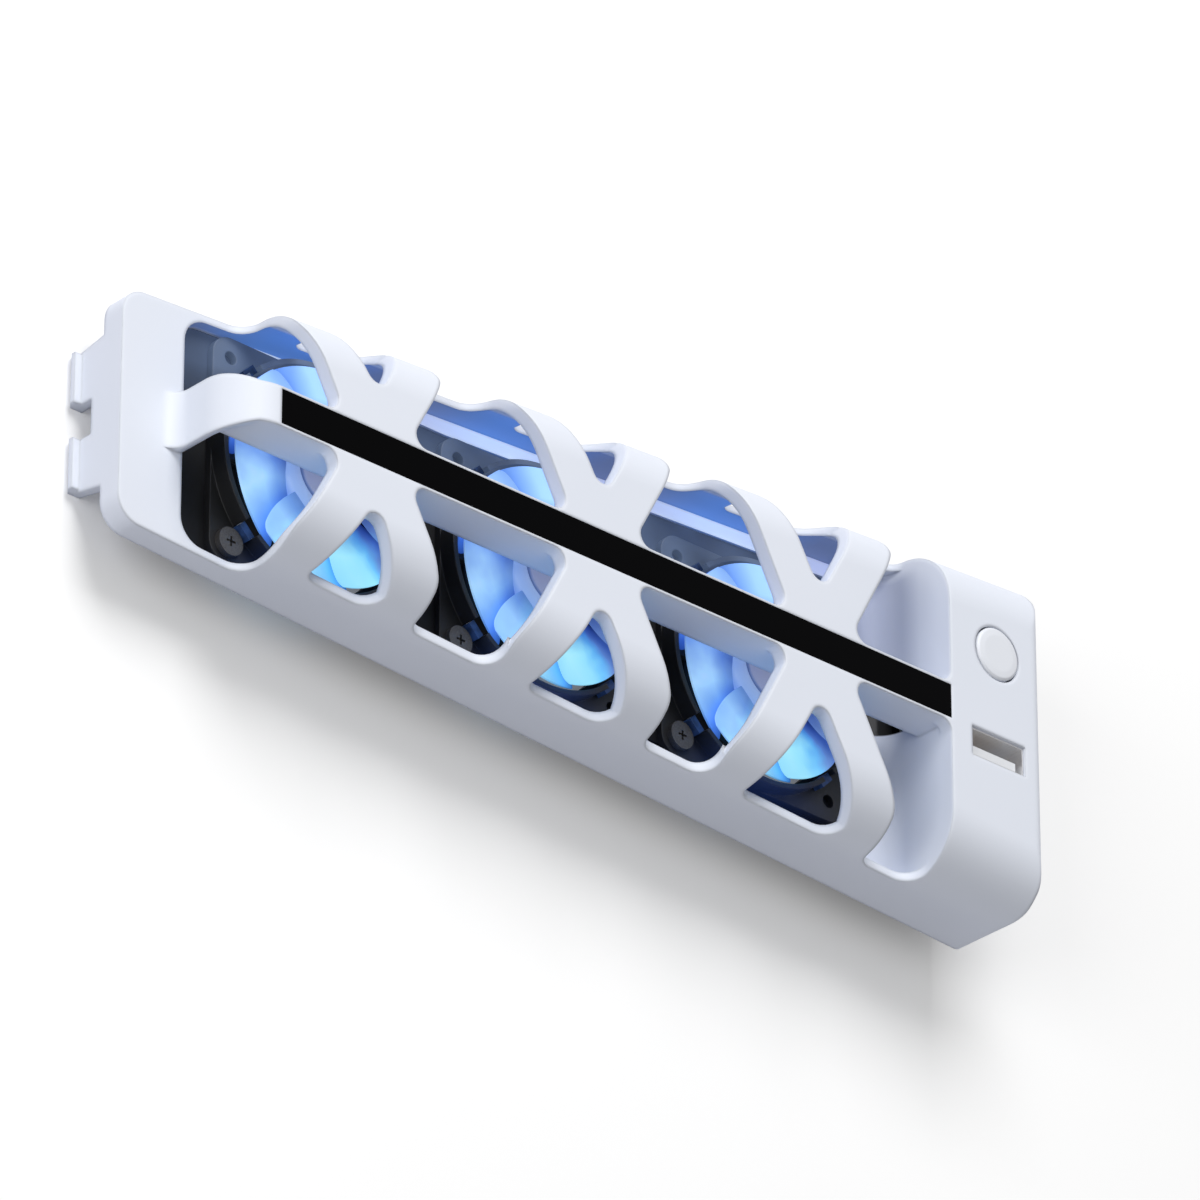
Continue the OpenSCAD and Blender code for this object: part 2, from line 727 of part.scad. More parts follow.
// Pan head screw standing on its tip, cross recess in its head
module screw(len, r = head_r) {
  difference() {
    union() {
      cylinder(r = screw_r, h = len + 0.1);
      translate([0, 0, len]) cylinder(r = r, h = head_t);
    }
    for (a = [0, 90])
      rotate([0, 0, a]) translate([-screw_r, -recess_w / 2, len + head_t - recess_d])
        cube([2 * screw_r, recess_w, head_t]);
  }
}

module fan_screws() {
  color("silver") for (i = fan_ids)
    at_fan(i) translate([0, 0, tip_left - base_t]) at_screws() screw(ear_t + base_t - tip_left, fan_head_r);
}

module cover_screws() {
  color("silver") at_cover_spots()
    translate([0, 0, z_back + head_t + 0.05 + boss_h]) mirror([0, 0, 1]) screw(boss_h);
}

module board_screws() {
  color("silver") for (p = board_spots)
    translate([p[0], p[1], z_back + tip_left]) screw(z_board + board_t - z_back - tip_left);
}

// Board carrying the socket, the plug and the switch
module main_board() {
  color([0.1, 0.35, 0.2]) difference() {
    translate([x_board, board_y, z_board])
      linear_extrude(board_t) polygon(box(pod_len - bulk_t - wall_t - 2 * board_gap, board_h));
    for (p = board_spots)
      translate([p[0], p[1], z_board - 1]) cylinder(r = screw_r + hole_gap, h = board_t + 2);
  }
}

// White push button with a skirt under the sheet and a stem on the switch
module button_cap() {
  color([0.9, 0.9, 0.93]) translate([x_board, button_y, 0]) {
    rotate_extrude() polygon([[0, z_stem], [1.7, z_stem], [1.7, z_cap - 1.2], [button_r + 1.1, z_cap - 1.2],
      [button_r + 1.1, z_cap], [button_r, z_cap], [button_r, z_top], [button_r - 0.4, z_top + 0.35],
      [button_r - 1.6, z_top + 0.5], [0, z_top + 0.5]]);
  }
}

// Body of the push switch
module switch_body() {
  color([0.08, 0.08, 0.08]) translate([x_board, button_y, z_board + board_t]) difference() {
    translate([-3, -3, 0]) cube([6, 6, 4]);
    translate([0, 0, 1.2]) cylinder(r = 2.05, h = 5);
  }
}

// Plunger of the push switch
module switch_plunger() {
  z0 = z_board + board_t + 1.2 + button_travel + 0.3;
  color([0.8, 0.8, 0.8]) translate([x_board, button_y, z0]) cylinder(r = 1.7, h = z_stem - z0);
}

// Folded metal shell of the socket, closed by the board
module port_shell() {
  color("silver") translate([x_board, port_y, z_port - port_depth]) difference() {
    linear_extrude(port_depth) polygon(box(port_in_x + 2 * shell_t, port_in_y + 2 * shell_t));
    translate([0, 0, 1]) linear_extrude(port_depth) polygon(box(port_in_x, port_in_y));
  }
}

// Tongue of the socket
module port_tongue() {
  color([0.85, 0.87, 0.9]) translate([x_board, port_y - 1.1, z_port - port_depth + 1])
    linear_extrude(port_depth - 2) polygon(box(11.1, 1.84));
}

module port_contacts() {
  color([0.8, 0.65, 0.3]) translate([x_board, port_y - 0.03, z_port - port_depth + 1])
    for (x = contact_x)
      translate([x - contact_w / 2, -0.15, 0]) cube([contact_w, 0.25, port_depth - 3.5]);
}

// Metal shell of the plug that feeds the bar, with its latch holes
module plug_shell() {
  color("silver") translate([x_board, plug_y, 0]) difference() {
    linear_extrude(z_board) polygon(box(plug_x, plug_h));
    translate([0, 0, -1]) linear_extrude(z_board) polygon(box(plug_x - 2 * shell_t, plug_h - 2 * shell_t));
    for (x = [-3.2, 3.2])
      translate([x - 1.1, -plug_h, 5]) cube([2.2, 2 * plug_h, 2.2]);
  }
}

// Insulating tongue inside the plug
module plug_tongue() {
  color([0.95, 0.95, 0.95]) translate([x_board, plug_y - plug_h / 4 + shell_t / 2, 0.6])
    linear_extrude(z_board - 1.6) polygon(box(plug_x - 2 * shell_t - 0.1, plug_h / 2 - shell_t - 0.1));
}

module plug_contacts() {
  color([0.8, 0.65, 0.3]) translate([x_board, plug_y, 1.2])
    for (x = contact_x)
      translate([x - contact_w / 2, -0.05, 0]) cube([contact_w, 0.2, contact_len]);
}

front_cover();
spine_inlay();
rear_base();
fan_frame(0);  // fan_frame_1
fan_frame(1);  // fan_frame_2
fan_frame(2);  // fan_frame_3
rotor(0);  // rotor_1
rotor(1);  // rotor_2
rotor(2);  // rotor_3
shaft(0);  // shaft_1
shaft(1);  // shaft_2
shaft(2);  // shaft_3
bearing(0);  // bearing_1
bearing(1);  // bearing_2
bearing(2);  // bearing_3
magnet(0);  // magnet_1
magnet(1);  // magnet_2
magnet(2);  // magnet_3
stator(0);  // stator_1
stator(1);  // stator_2
stator(2);  // stator_3
coils(0);  // coils_1
coils(1);  // coils_2
coils(2);  // coils_3
fan_board(0);  // fan_board_1
fan_board(1);  // fan_board_2
fan_board(2);  // fan_board_3
leds(0);  // leds_1
leds(1);  // leds_2
leds(2);  // leds_3
fan_screws();
cover_screws();
board_screws();
main_board();
power_ribbon();
button_cap();
switch_body();
switch_plunger();
port_shell();
port_tongue();
port_contacts();
plug_shell();
plug_tongue();
plug_contacts();
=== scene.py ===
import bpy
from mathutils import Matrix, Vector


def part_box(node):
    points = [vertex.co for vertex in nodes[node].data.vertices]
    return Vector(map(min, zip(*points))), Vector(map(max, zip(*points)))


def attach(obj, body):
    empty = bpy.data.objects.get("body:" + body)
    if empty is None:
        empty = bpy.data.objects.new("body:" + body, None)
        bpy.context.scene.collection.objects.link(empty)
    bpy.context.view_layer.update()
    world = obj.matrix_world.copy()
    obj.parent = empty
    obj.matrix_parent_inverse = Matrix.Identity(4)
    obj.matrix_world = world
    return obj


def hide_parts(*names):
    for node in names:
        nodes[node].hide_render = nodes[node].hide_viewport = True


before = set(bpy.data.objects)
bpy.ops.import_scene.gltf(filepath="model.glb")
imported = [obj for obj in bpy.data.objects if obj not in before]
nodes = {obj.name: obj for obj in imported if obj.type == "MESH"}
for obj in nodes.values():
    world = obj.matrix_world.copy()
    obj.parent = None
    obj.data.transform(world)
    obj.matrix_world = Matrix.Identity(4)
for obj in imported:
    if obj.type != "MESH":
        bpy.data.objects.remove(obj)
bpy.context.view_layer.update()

import bmesh
import bpy
import numpy as np
from mathutils import Matrix, Vector

# Front cover: one white ABS moulding that makes the flange, the spine, the ribs, the pod and the hooks.
# Its edges leave the steel mould with a small radius, and the etched steel leaves a satin grain.
# Inside, the fans' light is painted on the long walls and ledge, and shade on the pod's wall and relief.
mm = 0.001
collection = bpy.context.scene.collection
fans = (1, 2, 3)
fan_axis = {k: sum(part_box(f"shaft_{k}"), Vector()) / 2 for k in fans}
fan_pitch = fan_axis[2].x - fan_axis[1].x


def linear(code):
    """Linear colour of an sRGB hex code: c / 12.92 below 0.04045, and ((c + 0.055) / 1.055) to the power
    2.4 above it."""
    c = np.array([int(code[k:k + 2], 16) for k in (1, 3, 5)]) / 255
    return (*np.where(c < 0.04045, c / 12.92, ((c + 0.055) / 1.055) ** 2.4), 1.0)


def add_node(material, kind, links=(), inputs=(), stops=(), **settings):
    """Adds one shader node with its settings, its socket values, its colour stops (place and hex colour,
    the two ends first) and its links from other nodes' outputs."""
    node = material.node_tree.nodes.new(kind)
    for key, value in settings.items():
        setattr(node, key, value)
    for key, value in dict(inputs).items():
        node.inputs[key].default_value = value
    for k, (spot, code) in enumerate(stops):
        stop = node.color_ramp.elements[k] if k < 2 else node.color_ramp.elements.new(spot)
        stop.position, stop.color = spot, linear(code)
    for key, source in dict(links).items():
        material.node_tree.links.new(source, node.inputs[key])
    return node


def new_material(name):
    """An empty node material, and the Object coordinates that its patterns read."""
    material = bpy.data.materials.new(name)
    material.use_nodes = True
    material.node_tree.nodes.clear()
    place = add_node(material, "ShaderNodeTexCoord").outputs["Object"]
    return material, place


def show(material, shader):
    """Joins a shader to the material's output."""
    add_node(material, "ShaderNodeOutputMaterial", {"Surface": shader.outputs[0]})
    return material


def moulded_plastic(name, pale, deep, rough, grain, edge):
    """Moulded plastic: slow drifts of tone and gloss, an etched grain, and edges rounded by a Bevel node.
    Grain and edge are in millimetres. The grain is drawn coarser than the real one, so that it shows."""
    drift_size, etch_depth = 35 * mm, 0.02 * mm
    glossiest, dullest = rough - 0.04, rough + 0.05
    material, place = new_material(name)
    drift = add_node(material, "ShaderNodeTexNoise", {"Vector": place},
                     {"Scale": 1 / drift_size, "Detail": 2.0}).outputs["Fac"]
    tone = add_node(material, "ShaderNodeMix", {0: drift}, {6: linear(pale), 7: linear(deep)},
                    data_type="RGBA").outputs[2]
    gloss = add_node(material, "ShaderNodeMapRange", {"Value": drift},
                     {"To Min": glossiest, "To Max": dullest}).outputs["Result"]
    speck = add_node(material, "ShaderNodeTexNoise", {"Vector": place},
                     {"Scale": 1 / (grain * mm), "Detail": 1.0}).outputs["Fac"]
    rounded = add_node(material, "ShaderNodeBevel", inputs={"Radius": edge * mm},
                       samples=6).outputs["Normal"]
    etch = add_node(material, "ShaderNodeBump", {"Height": speck, "Normal": rounded},
                    {"Strength": 0.25, "Distance": etch_depth}).outputs["Normal"]
    shader = add_node(material, "ShaderNodeBsdfPrincipled",
                      {"Base Color": tone, "Roughness": gloss, "Normal": etch}, {"IOR": 1.53})
    return show(material, shader)


def sockets(material):
    """The input sockets of a finish's shader."""
    return material.node_tree.nodes["Principled BSDF"].inputs


def dress(material, *names):
    """Gives CAD nodes a finish, in the material slot that they came with."""
    for name in names:
        nodes[name].material_slots[0].material = material


def zone(material, *limits):
    """A mask that is 1 where every value lies between its low and high limit, and falls to 0 over a soft
    margin beyond them. Each limit is a value with its low, its high and its margin."""
    mask = None
    for value, low, high, soft in limits:
        for outside, inside in ((low - soft, low), (high + soft, high)):
            rise = add_node(material, "ShaderNodeMapRange", {"Value": value},
                            {"From Min": outside, "From Max": inside}).outputs["Result"]
            mask = rise if mask is None else add_node(material, "ShaderNodeMath", {0: mask, 1: rise},
                                                      operation="MULTIPLY").outputs[0]
    return mask


def paint(material, socket, mask, tint):
    """Turns one of the shader's colours to the tint, a hex colour or a pattern, where the mask is 1."""
    colour = sockets(material)[socket]
    fixed, pattern = ({7: linear(tint)}, {}) if isinstance(tint, str) else ({}, {7: tint})
    mixed = add_node(material, "ShaderNodeMix", {0: mask} | pattern, {6: colour.default_value} | fixed,
                     data_type="RGBA")
    if colour.links:
        material.node_tree.links.new(colour.links[0].from_socket, mixed.inputs[6])
    material.node_tree.links.new(mixed.outputs[2], colour)


def spill(material, mask, tint):
    """Painted light of the fans on a surface: where the mask is 1, its colour and its glow turn to the
    tint.
    """
    if not sockets(material)["Emission Color"].links:
        sockets(material)["Emission Color"].default_value = (0, 0, 0, 1)
    sockets(material)["Emission Strength"].default_value = 0.6
    paint(material, "Base Color", mask, tint)
    paint(material, "Emission Color", mask, tint)


def swell(material, x, peak, far, near):
    """Colour that swells from far to near once for each fan: a cosine along x with the fans' spacing,
    highest at the peak and cut off a little inside its lowest and highest values."""
    lowest, highest = -0.8, 0.9
    per_metre = 2 * np.pi / fan_pitch
    angle = add_node(material, "ShaderNodeMath", {0: x}, {1: per_metre, 2: -per_metre * peak},
                     operation="MULTIPLY_ADD").outputs[0]
    swing = add_node(material, "ShaderNodeMath", {0: angle}, operation="COSINE").outputs[0]
    share = add_node(material, "ShaderNodeMapRange", {"Value": swing},
                     {"From Min": lowest, "From Max": highest}).outputs["Result"]
    return add_node(material, "ShaderNodeMix", {0: share}, {6: linear(far), 7: linear(near)},
                    data_type="RGBA").outputs[2]


# White satin ABS: the eye sees a cool white with soft highlights along the round edges.
cover_abs = moulded_plastic("white_satin_abs", "#E5E9F3", "#DFE4EE", rough=0.55, grain=0.5, edge=1.1)
coords = add_node(cover_abs, "ShaderNodeTexCoord").outputs
x, y, z = add_node(cover_abs, "ShaderNodeSeparateXYZ", {0: coords["Object"]}).outputs
facing = add_node(cover_abs, "ShaderNodeSeparateXYZ", {0: coords["Normal"]}).outputs
inward = add_node(cover_abs, "ShaderNodeMath", {0: y, 1: facing["Y"]}, operation="MULTIPLY").outputs[0]
along_bay = (x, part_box("rear_base")[0].x, fan_axis[3].x + fan_pitch / 2, 4 * mm)
brightest = fan_axis[2].x - 8 * mm
ledge_z, wall_top = 11 * mm, 19 * mm
# Painted light: blue fan light glows on the inner long walls, and pale light on the ledge's top, brightest
# near each fan.
painted_wall_light = zone(cover_abs, (inward, -60 * mm, -14 * mm, 6 * mm), along_bay,
                (z, ledge_z + 0.2 * mm, wall_top, 1 * mm))
painted_ledge_light = zone(cover_abs, (facing["Z"], 0.8, 1.2, 0.1), along_bay,
                 (z, ledge_z - 0.1 * mm, ledge_z + 0.1 * mm, 0.05 * mm))
spill(cover_abs, painted_wall_light, swell(cover_abs, x, brightest, "#5A6A92", "#4F7AC0"))
spill(cover_abs, painted_ledge_light, swell(cover_abs, x, brightest, "#B9C4E6", "#CBDDF8"))
# Painted shade: the foot of the pod's wall in the upper half turns a darker lilac grey, fading out upwards.
painted_pod_wall_shade = zone(cover_abs, (x, 73 * mm, 79.6 * mm, 0.8 * mm), (y, 0, 30 * mm, 2 * mm),
                       (z, 10 * mm, 12 * mm, 10 * mm))
# Painted shadow: the relief through the pod's wall, under the spine, is painted near black.
painted_relief_shadow = zone(cover_abs, (x, 72 * mm, 82 * mm, 0.5 * mm), (y, -1 * mm, 5.2 * mm, 0.3 * mm),
                   (z, 10 * mm, 19.2 * mm, 0.3 * mm))
paint(cover_abs, "Base Color", painted_pod_wall_shade, "#A4ACC4")
paint(cover_abs, "Base Color", painted_relief_shadow, "#07080C")
dress(cover_abs, "front_cover")

# Spine inlay: a strip of gloss black acrylic pressed into the pocket of the spine.
# Its face is polished, so it shows deep black with the faint waviness of its moulding.
inlay_acrylic, place = new_material("piano_black_acrylic")
wave_size, wave_height = 12 * mm, 0.05 * mm
wave = add_node(inlay_acrylic, "ShaderNodeTexNoise", {"Vector": place},
                {"Scale": 1 / wave_size, "Detail": 1.0}).outputs["Fac"]
ripple = add_node(inlay_acrylic, "ShaderNodeBump", {"Height": wave},
                  {"Strength": 0.05, "Distance": wave_height}).outputs["Normal"]
haze = add_node(inlay_acrylic, "ShaderNodeMapRange", {"Value": wave},
                {"To Min": 0.1, "To Max": 0.2}).outputs["Result"]
polish = add_node(inlay_acrylic, "ShaderNodeBsdfPrincipled", {"Normal": ripple, "Roughness": haze},
                  {"Base Color": linear("#010102"), "IOR": 1.49, "Specular IOR Level": 0.06})
dress(show(inlay_acrylic, polish), "spine_inlay")

# Back plate: a black ABS moulding with guarded air inlets, screwed to the cover from the back.
# Its spark grain is coarser than the cover's, so it looks dull and nearly black in the bay.
back_abs = moulded_plastic("black_grained_abs", "#1B1C1F", "#131416", rough=0.5, grain=0.8, edge=0.5)


def paint_bay_light(material, tint):
    """Painted blue light of the fans on what lies in the bay, above the back plate's face: a cloudy glow in
    the upper half, and a dim navy glow below each fan."""
    cloud_size = 9 * mm
    place = add_node(material, "ShaderNodeTexCoord").outputs["Object"]
    x, y, z = add_node(material, "ShaderNodeSeparateXYZ", {0: place}).outputs
    in_bay = (z, 10.3 * mm, 25 * mm, 0.1 * mm)
    upper_half = zone(material, in_bay, (y, 16 * mm, 60 * mm, 10 * mm))
    below_fans = zone(material, in_bay, (y, -60 * mm, -21 * mm, 4 * mm))
    cloud = add_node(material, "ShaderNodeTexNoise", {"Vector": place},
                     {"Scale": 1 / cloud_size, "Detail": 1.0}).outputs["Fac"]
    # The painted light is cloudy: a slate blue mixed with the tint.
    haze = add_node(material, "ShaderNodeMix", {0: cloud}, {6: linear("#303A4C"), 7: linear(tint)},
                    data_type="RGBA").outputs[2]
    spill(material, upper_half, haze)
    spill(material, below_fans, swell(material, x, fan_axis[2].x, "#0B0C10", "#101D3C"))


# Painted light: the fans' blue glow on the back plate's face in the bay.
paint_bay_light(back_abs, "#4E5D77")
sockets(back_abs)["Specular IOR Level"].default_value = 0.2
dress(back_abs, "rear_base")

# Fan frames: black glass-filled PBT ducts with a seat on struts, each held by two screws in its ears.
# The filler gives them a dull skin with a fine grey fleck.
black_pbt = moulded_plastic("black_filled_pbt", "#151619", "#0E0F11", rough=0.5, grain=0.45, edge=0.3)
# Painted light: the fans' blue glow on the frames in the bay.
paint_bay_light(black_pbt, "#56667F")
dress(black_pbt, *[f"fan_frame_{k}" for k in fans])


# Motor parts on each frame: a bronze bush, a round board, a laminated core and four copper windings.
# The bush is sintered and looks grainy, the core is a stack of stamped sheets, and the wire is enamelled.
def worked_metal(name, pale, deep, rough, grit, drawn):
    """Metal with the marks of its making: noise of the grit's size in millimetres, squeezed along one axis
    so that it is drawn out along the others, sets the tone, the gloss and a fine bump. Fine grit is drawn
    coarser than the real one, so that it shows."""
    mark_depth = 0.01 * mm
    glossiest, dullest = rough - 0.08, rough + 0.1
    material, place = new_material(name)
    drawn_out = add_node(material, "ShaderNodeMapping", {"Vector": place}, {"Scale": drawn})
    marks = add_node(material, "ShaderNodeTexNoise", {"Vector": drawn_out.outputs["Vector"]},
                     {"Scale": 1 / (grit * mm), "Detail": 2.0}).outputs["Fac"]
    tone = add_node(material, "ShaderNodeMix", {0: marks}, {6: linear(pale), 7: linear(deep)},
                    data_type="RGBA").outputs[2]
    gloss = add_node(material, "ShaderNodeMapRange", {"Value": marks},
                     {"To Min": glossiest, "To Max": dullest}).outputs["Result"]
    tooling = add_node(material, "ShaderNodeBump", {"Height": marks},
                       {"Strength": 0.2, "Distance": mark_depth}).outputs["Normal"]
    shader = add_node(material, "ShaderNodeBsdfPrincipled",
                      {"Base Color": tone, "Roughness": gloss, "Normal": tooling}, {"Metallic": 1.0})
    return show(material, shader)


def circuit_board(name, mask_green, trace_green):
    """Green solder mask over copper: traces on a grid of rows show through as a paler green."""
    trace_half, trace_step, row_step, copper = 0.3 * mm, 4 * mm, 2 * mm, 0.03 * mm
    material, place = new_material(name)
    traces = add_node(material, "ShaderNodeTexBrick", {"Vector": place},
                      {"Color1": linear(mask_green), "Color2": linear(mask_green),
                       "Mortar": linear(trace_green), "Scale": 1.0, "Mortar Size": trace_half,
                       "Brick Width": trace_step, "Row Height": row_step}).outputs
    raised = add_node(material, "ShaderNodeBump", {"Height": traces["Fac"]},
                      {"Strength": 0.3, "Distance": copper}).outputs["Normal"]
    shader = add_node(material, "ShaderNodeBsdfPrincipled",
                      {"Base Color": traces["Color"], "Normal": raised}, {"Roughness": 0.3, "IOR": 1.5})
    return show(material, shader)


round_grit, sheet_stack = (1, 1, 1), (0.05, 0.05, 1)
bush_bronze = worked_metal("sintered_bronze", "#B08A54", "#8A6638", rough=0.45, grit=0.25, drawn=round_grit)
green_mask = circuit_board("green_solder_mask", "#12522E", "#2C7A48")
core_steel = worked_metal("laminated_electrical_steel", "#8E9094", "#54565B",
                          rough=0.4, grit=0.35, drawn=sheet_stack)
winding_wire = worked_metal("enamelled_copper_wire", "#C9703C", "#7E3A18",
                            rough=0.3, grit=0.3, drawn=sheet_stack)
dress(bush_bronze, *[f"bearing_{k}" for k in fans])
dress(green_mask, *[f"fan_board_{k}" for k in fans])
dress(core_steel, *[f"stator_{k}" for k in fans])
dress(winding_wire, *[f"coils_{k}" for k in fans])

# Rotors: a hub and seven wide blades in one shot of frosted polycarbonate, on a steel shaft with a magnet.
# Light entering at the duct is painted into the blades as a glow, in bands of pale blue and cyan,
# with painted shade deeper towards one edge.
# The thick hub stays grey, with painted shade in a shallow groove and painted pale blue light on the
# shoulder round it.
hub_r, cup_in, cup_depth, blade_root, blade_tip = 10.0, 9.04, 5.4, 9.5, 20.9
blade_count, first_blade, half_angle, sweep = 7, 199, 31.5, 9
hub_profile = np.array([(0, 0), (6.2, 0), (6.5, 0.05), (6.65, 0.2), (6.7, 0.4), (6.7, 0.7), (7.2, 0.7),
                        (7.2, 0.3), (7.3, 0.12), (7.5, 0.08), (8.6, 0.42), (9.3, 0.85), (9.75, 1.4),
                        (9.95, 2.0), (hub_r, 2.6), (hub_r, cup_depth), (cup_in, cup_depth), (cup_in, 1.3),
                        (8.74, 1.0), (2.2, 1.0), (2.2, 1.8), (1.02, 1.8), (1.02, 0.4), (0, 0.4)])


def skin(name, points, material, **tags):
    """Closed forms from points[form, row, step]: each row is a loop, quads join it to the next row, and end
    rows that fold onto a line or a point close the form once doubles are merged. Tags are values kept on
    the points."""
    same_point, no_length, crease = 0.002 * mm, 0.001 * mm, np.radians(38)
    forms, rows, steps = points.shape[:3]
    index = np.arange(forms * rows * steps).reshape(forms, rows, steps)
    here, ahead = index[:, :-1], index[:, 1:]
    quads = np.stack([here, np.roll(here, -1, 2), np.roll(ahead, -1, 2), ahead], -1).reshape(-1, 4)
    mesh = bpy.data.meshes.new(name)
    mesh.from_pydata(points.reshape(-1, 3).tolist(), [], quads.tolist())
    for tag, values in tags.items():
        kept = mesh.attributes.new(tag, "FLOAT", "POINT")
        kept.data.foreach_set("value", values.astype(np.float32).ravel())
    whole = bmesh.new()
    whole.from_mesh(mesh)
    bmesh.ops.remove_doubles(whole, verts=whole.verts, dist=same_point)
    bmesh.ops.dissolve_degenerate(whole, edges=whole.edges, dist=no_length)
    bmesh.ops.recalc_face_normals(whole, faces=whole.faces)
    whole.to_mesh(mesh)
    whole.free()
    mesh.shade_smooth()
    mesh.set_sharp_from_angle(angle=crease)
    mesh.materials.append(material)
    piece = bpy.data.objects.new(name, mesh)
    collection.objects.link(piece)
    return piece


def turned(profile, centre, top, steps):
    """A profile of (radius, drop) pairs turned about the fan's axis: x and y are the radius times cosine
    and sine, and z is the top less the drop."""
    turn = np.linspace(0, 2 * np.pi, steps, endpoint=False)
    r, drop = profile[:, :1] * mm, profile[:, 1:] * mm
    x, y = centre.x + r * np.cos(turn), centre.y + r * np.sin(turn)
    return np.stack([x, y, top - drop + 0 * turn], -1)[None]


def blades(centre, top):
    """Blades round the axis. Span u runs from root to tip and the angle t round a section: the chord place
    is cos t, the thickness sin t. The chord's half angle is a little over half a blade's share, so that
    blades overlap, and it narrows near the tip. The section lies below the top by the seat, leans by the
    pitch, bows up by the camber, and sweeps forward with u squared. With the points come each one's chord
    place, span, and turn round the axis."""
    spans, around = 30, 48
    u = np.concatenate([[0], np.linspace(0, 1, spans), [1]])[:, None]
    t = np.linspace(0, 2 * np.pi, around, endpoint=False)
    flat = np.ones_like(u)
    flat[[0, -1]] = 0
    chord = np.cos(t)
    narrowing = 0.07 * np.clip((u - 0.85) / 0.15, 0, 1) ** 3
    seat, pitch, camber, thick = 2.4, 1.25 - 0.25 * u, 0.5, 0.85 - 0.35 * u
    drop = seat + pitch * chord - camber * (1 - chord ** 2) - flat * thick / 2 * np.sin(t)
    r = (blade_root + (blade_tip - blade_root) * u + 0 * t) * mm
    start = np.radians(first_blade + 360 / blade_count * np.arange(blade_count))[:, None, None]
    turn = np.radians(half_angle) * (1 - narrowing) * chord + np.radians(sweep) * u ** 2 + start
    x, y = centre.x + r * np.cos(turn), centre.y + r * np.sin(turn)
    points = np.stack([x, y, top - drop * mm + 0 * start], -1)
    tags = dict(chord=chord / 2 + 0.5, span=u + 0 * t, turn=turn / (2 * np.pi))
    return points, {name: np.broadcast_to(values, x.shape) for name, values in tags.items()}


# Frosted blade with a painted glow: the eye sees a cloudy light with no edge between one colour and the
# next.
blade_glow, place = new_material("frosted_polycarbonate_blade")
cloud_size, cloud_turn = 7 * mm, 0.05
at_turn, at_span, at_chord = (
    add_node(blade_glow, "ShaderNodeAttribute", attribute_name=name).outputs["Fac"]
    for name in ("turn", "span", "chord"))
cloud = add_node(blade_glow, "ShaderNodeTexNoise", {"Vector": place},
                 {"Scale": 1 / cloud_size, "Detail": 2.0}).outputs["Fac"]
drift = add_node(blade_glow, "ShaderNodeMapRange", {"Value": cloud},
                 {"To Min": -cloud_turn, "To Max": cloud_turn}).outputs["Result"]
drifted = add_node(blade_glow, "ShaderNodeMath", {0: at_turn, 1: drift}, operation="ADD").outputs[0]
lap = add_node(blade_glow, "ShaderNodeMath", {0: drifted}, operation="FRACT").outputs[0]
bands = add_node(blade_glow, "ShaderNodeValToRGB", {"Fac": lap}, stops=(
    (0.0, "#7C9CCB"), (1.0, "#7C9CCB"), (0.2, "#8DB2E8"), (0.28, "#96BEEC"), (0.36, "#98BEEA"),
    (0.46, "#86A4D0"), (0.51, "#749CD4"), (0.575, "#B2DCF6"), (0.64, "#92BEE8"), (0.7, "#A4E2F4"),
    (0.765, "#B2F4F8"), (0.83, "#A0EAF8"), (0.86, "#74C6F0"), (0.89, "#7898C8"), (0.92, "#6480B4")))
# Painted shade: the glow dims to grey towards the root, and deepens to blue towards the edge under the next
# blade.
root = add_node(blade_glow, "ShaderNodeValToRGB", {"Fac": at_span}, stops=(
    (0.0, "#9CA4C2"), (1.0, "#F6F9FF"), (0.22, "#BBC6E2"), (0.5, "#FFFFFF")))
edge = add_node(blade_glow, "ShaderNodeValToRGB", {"Fac": at_chord}, stops=(
    (0.0, "#E4EEFB"), (1.0, "#3A62A2"), (0.2, "#FFFFFF"), (0.5, "#F6FAFF"), (0.7, "#C8DAF5"),
    (0.88, "#82A6DC")))
shade = add_node(blade_glow, "ShaderNodeMix",
                 {6: root.outputs["Color"], 7: edge.outputs["Color"]}, {0: 1.0},
                 data_type="RGBA", blend_type="MULTIPLY").outputs[2]
glow = add_node(blade_glow, "ShaderNodeMix", {6: bands.outputs["Color"], 7: shade}, {0: 1.0},
                data_type="RGBA", blend_type="MULTIPLY").outputs[2]
frost = add_node(blade_glow, "ShaderNodeBsdfPrincipled", {"Base Color": glow, "Emission Color": glow},
                 {"Roughness": 0.4, "IOR": 1.58, "Emission Strength": 0.64})
show(blade_glow, frost)

# Frosted hub: blasted like the blades, but thick, so that only a weak painted glow comes through.
hub_glow, place = new_material("frosted_polycarbonate_hub")
sand_size, sand_depth = 0.6 * mm, 0.02 * mm
at_radius = add_node(hub_glow, "ShaderNodeAttribute", attribute_name="radius").outputs["Fac"]
# Painted light and shade by radius: grey near the axis, darker blue in the groove, paler blue on the
# shoulder.
rings = add_node(hub_glow, "ShaderNodeValToRGB", {"Fac": at_radius}, stops=(
    (0.0, "#A6A9BD"), (1.0, "#86AAE0"), (0.64, "#9DA3BC"), (0.67, "#6279A8"), (0.715, "#6279A8"),
    (0.735, "#A6BBDD"), (0.93, "#98B6E4"))).outputs["Color"]
sand = add_node(hub_glow, "ShaderNodeTexNoise", {"Vector": place},
                {"Scale": 1 / sand_size, "Detail": 2.0}).outputs["Fac"]
matt = add_node(hub_glow, "ShaderNodeMapRange", {"Value": sand},
                {"To Min": 0.3, "To Max": 0.46}).outputs["Result"]
blast = add_node(hub_glow, "ShaderNodeBump", {"Height": sand},
                 {"Strength": 0.2, "Distance": sand_depth}).outputs["Normal"]
shoulder = add_node(hub_glow, "ShaderNodeBsdfPrincipled",
                    {"Base Color": rings, "Emission Color": rings, "Roughness": matt, "Normal": blast},
                    {"IOR": 1.58, "Emission Strength": 0.35})
show(hub_glow, shoulder)

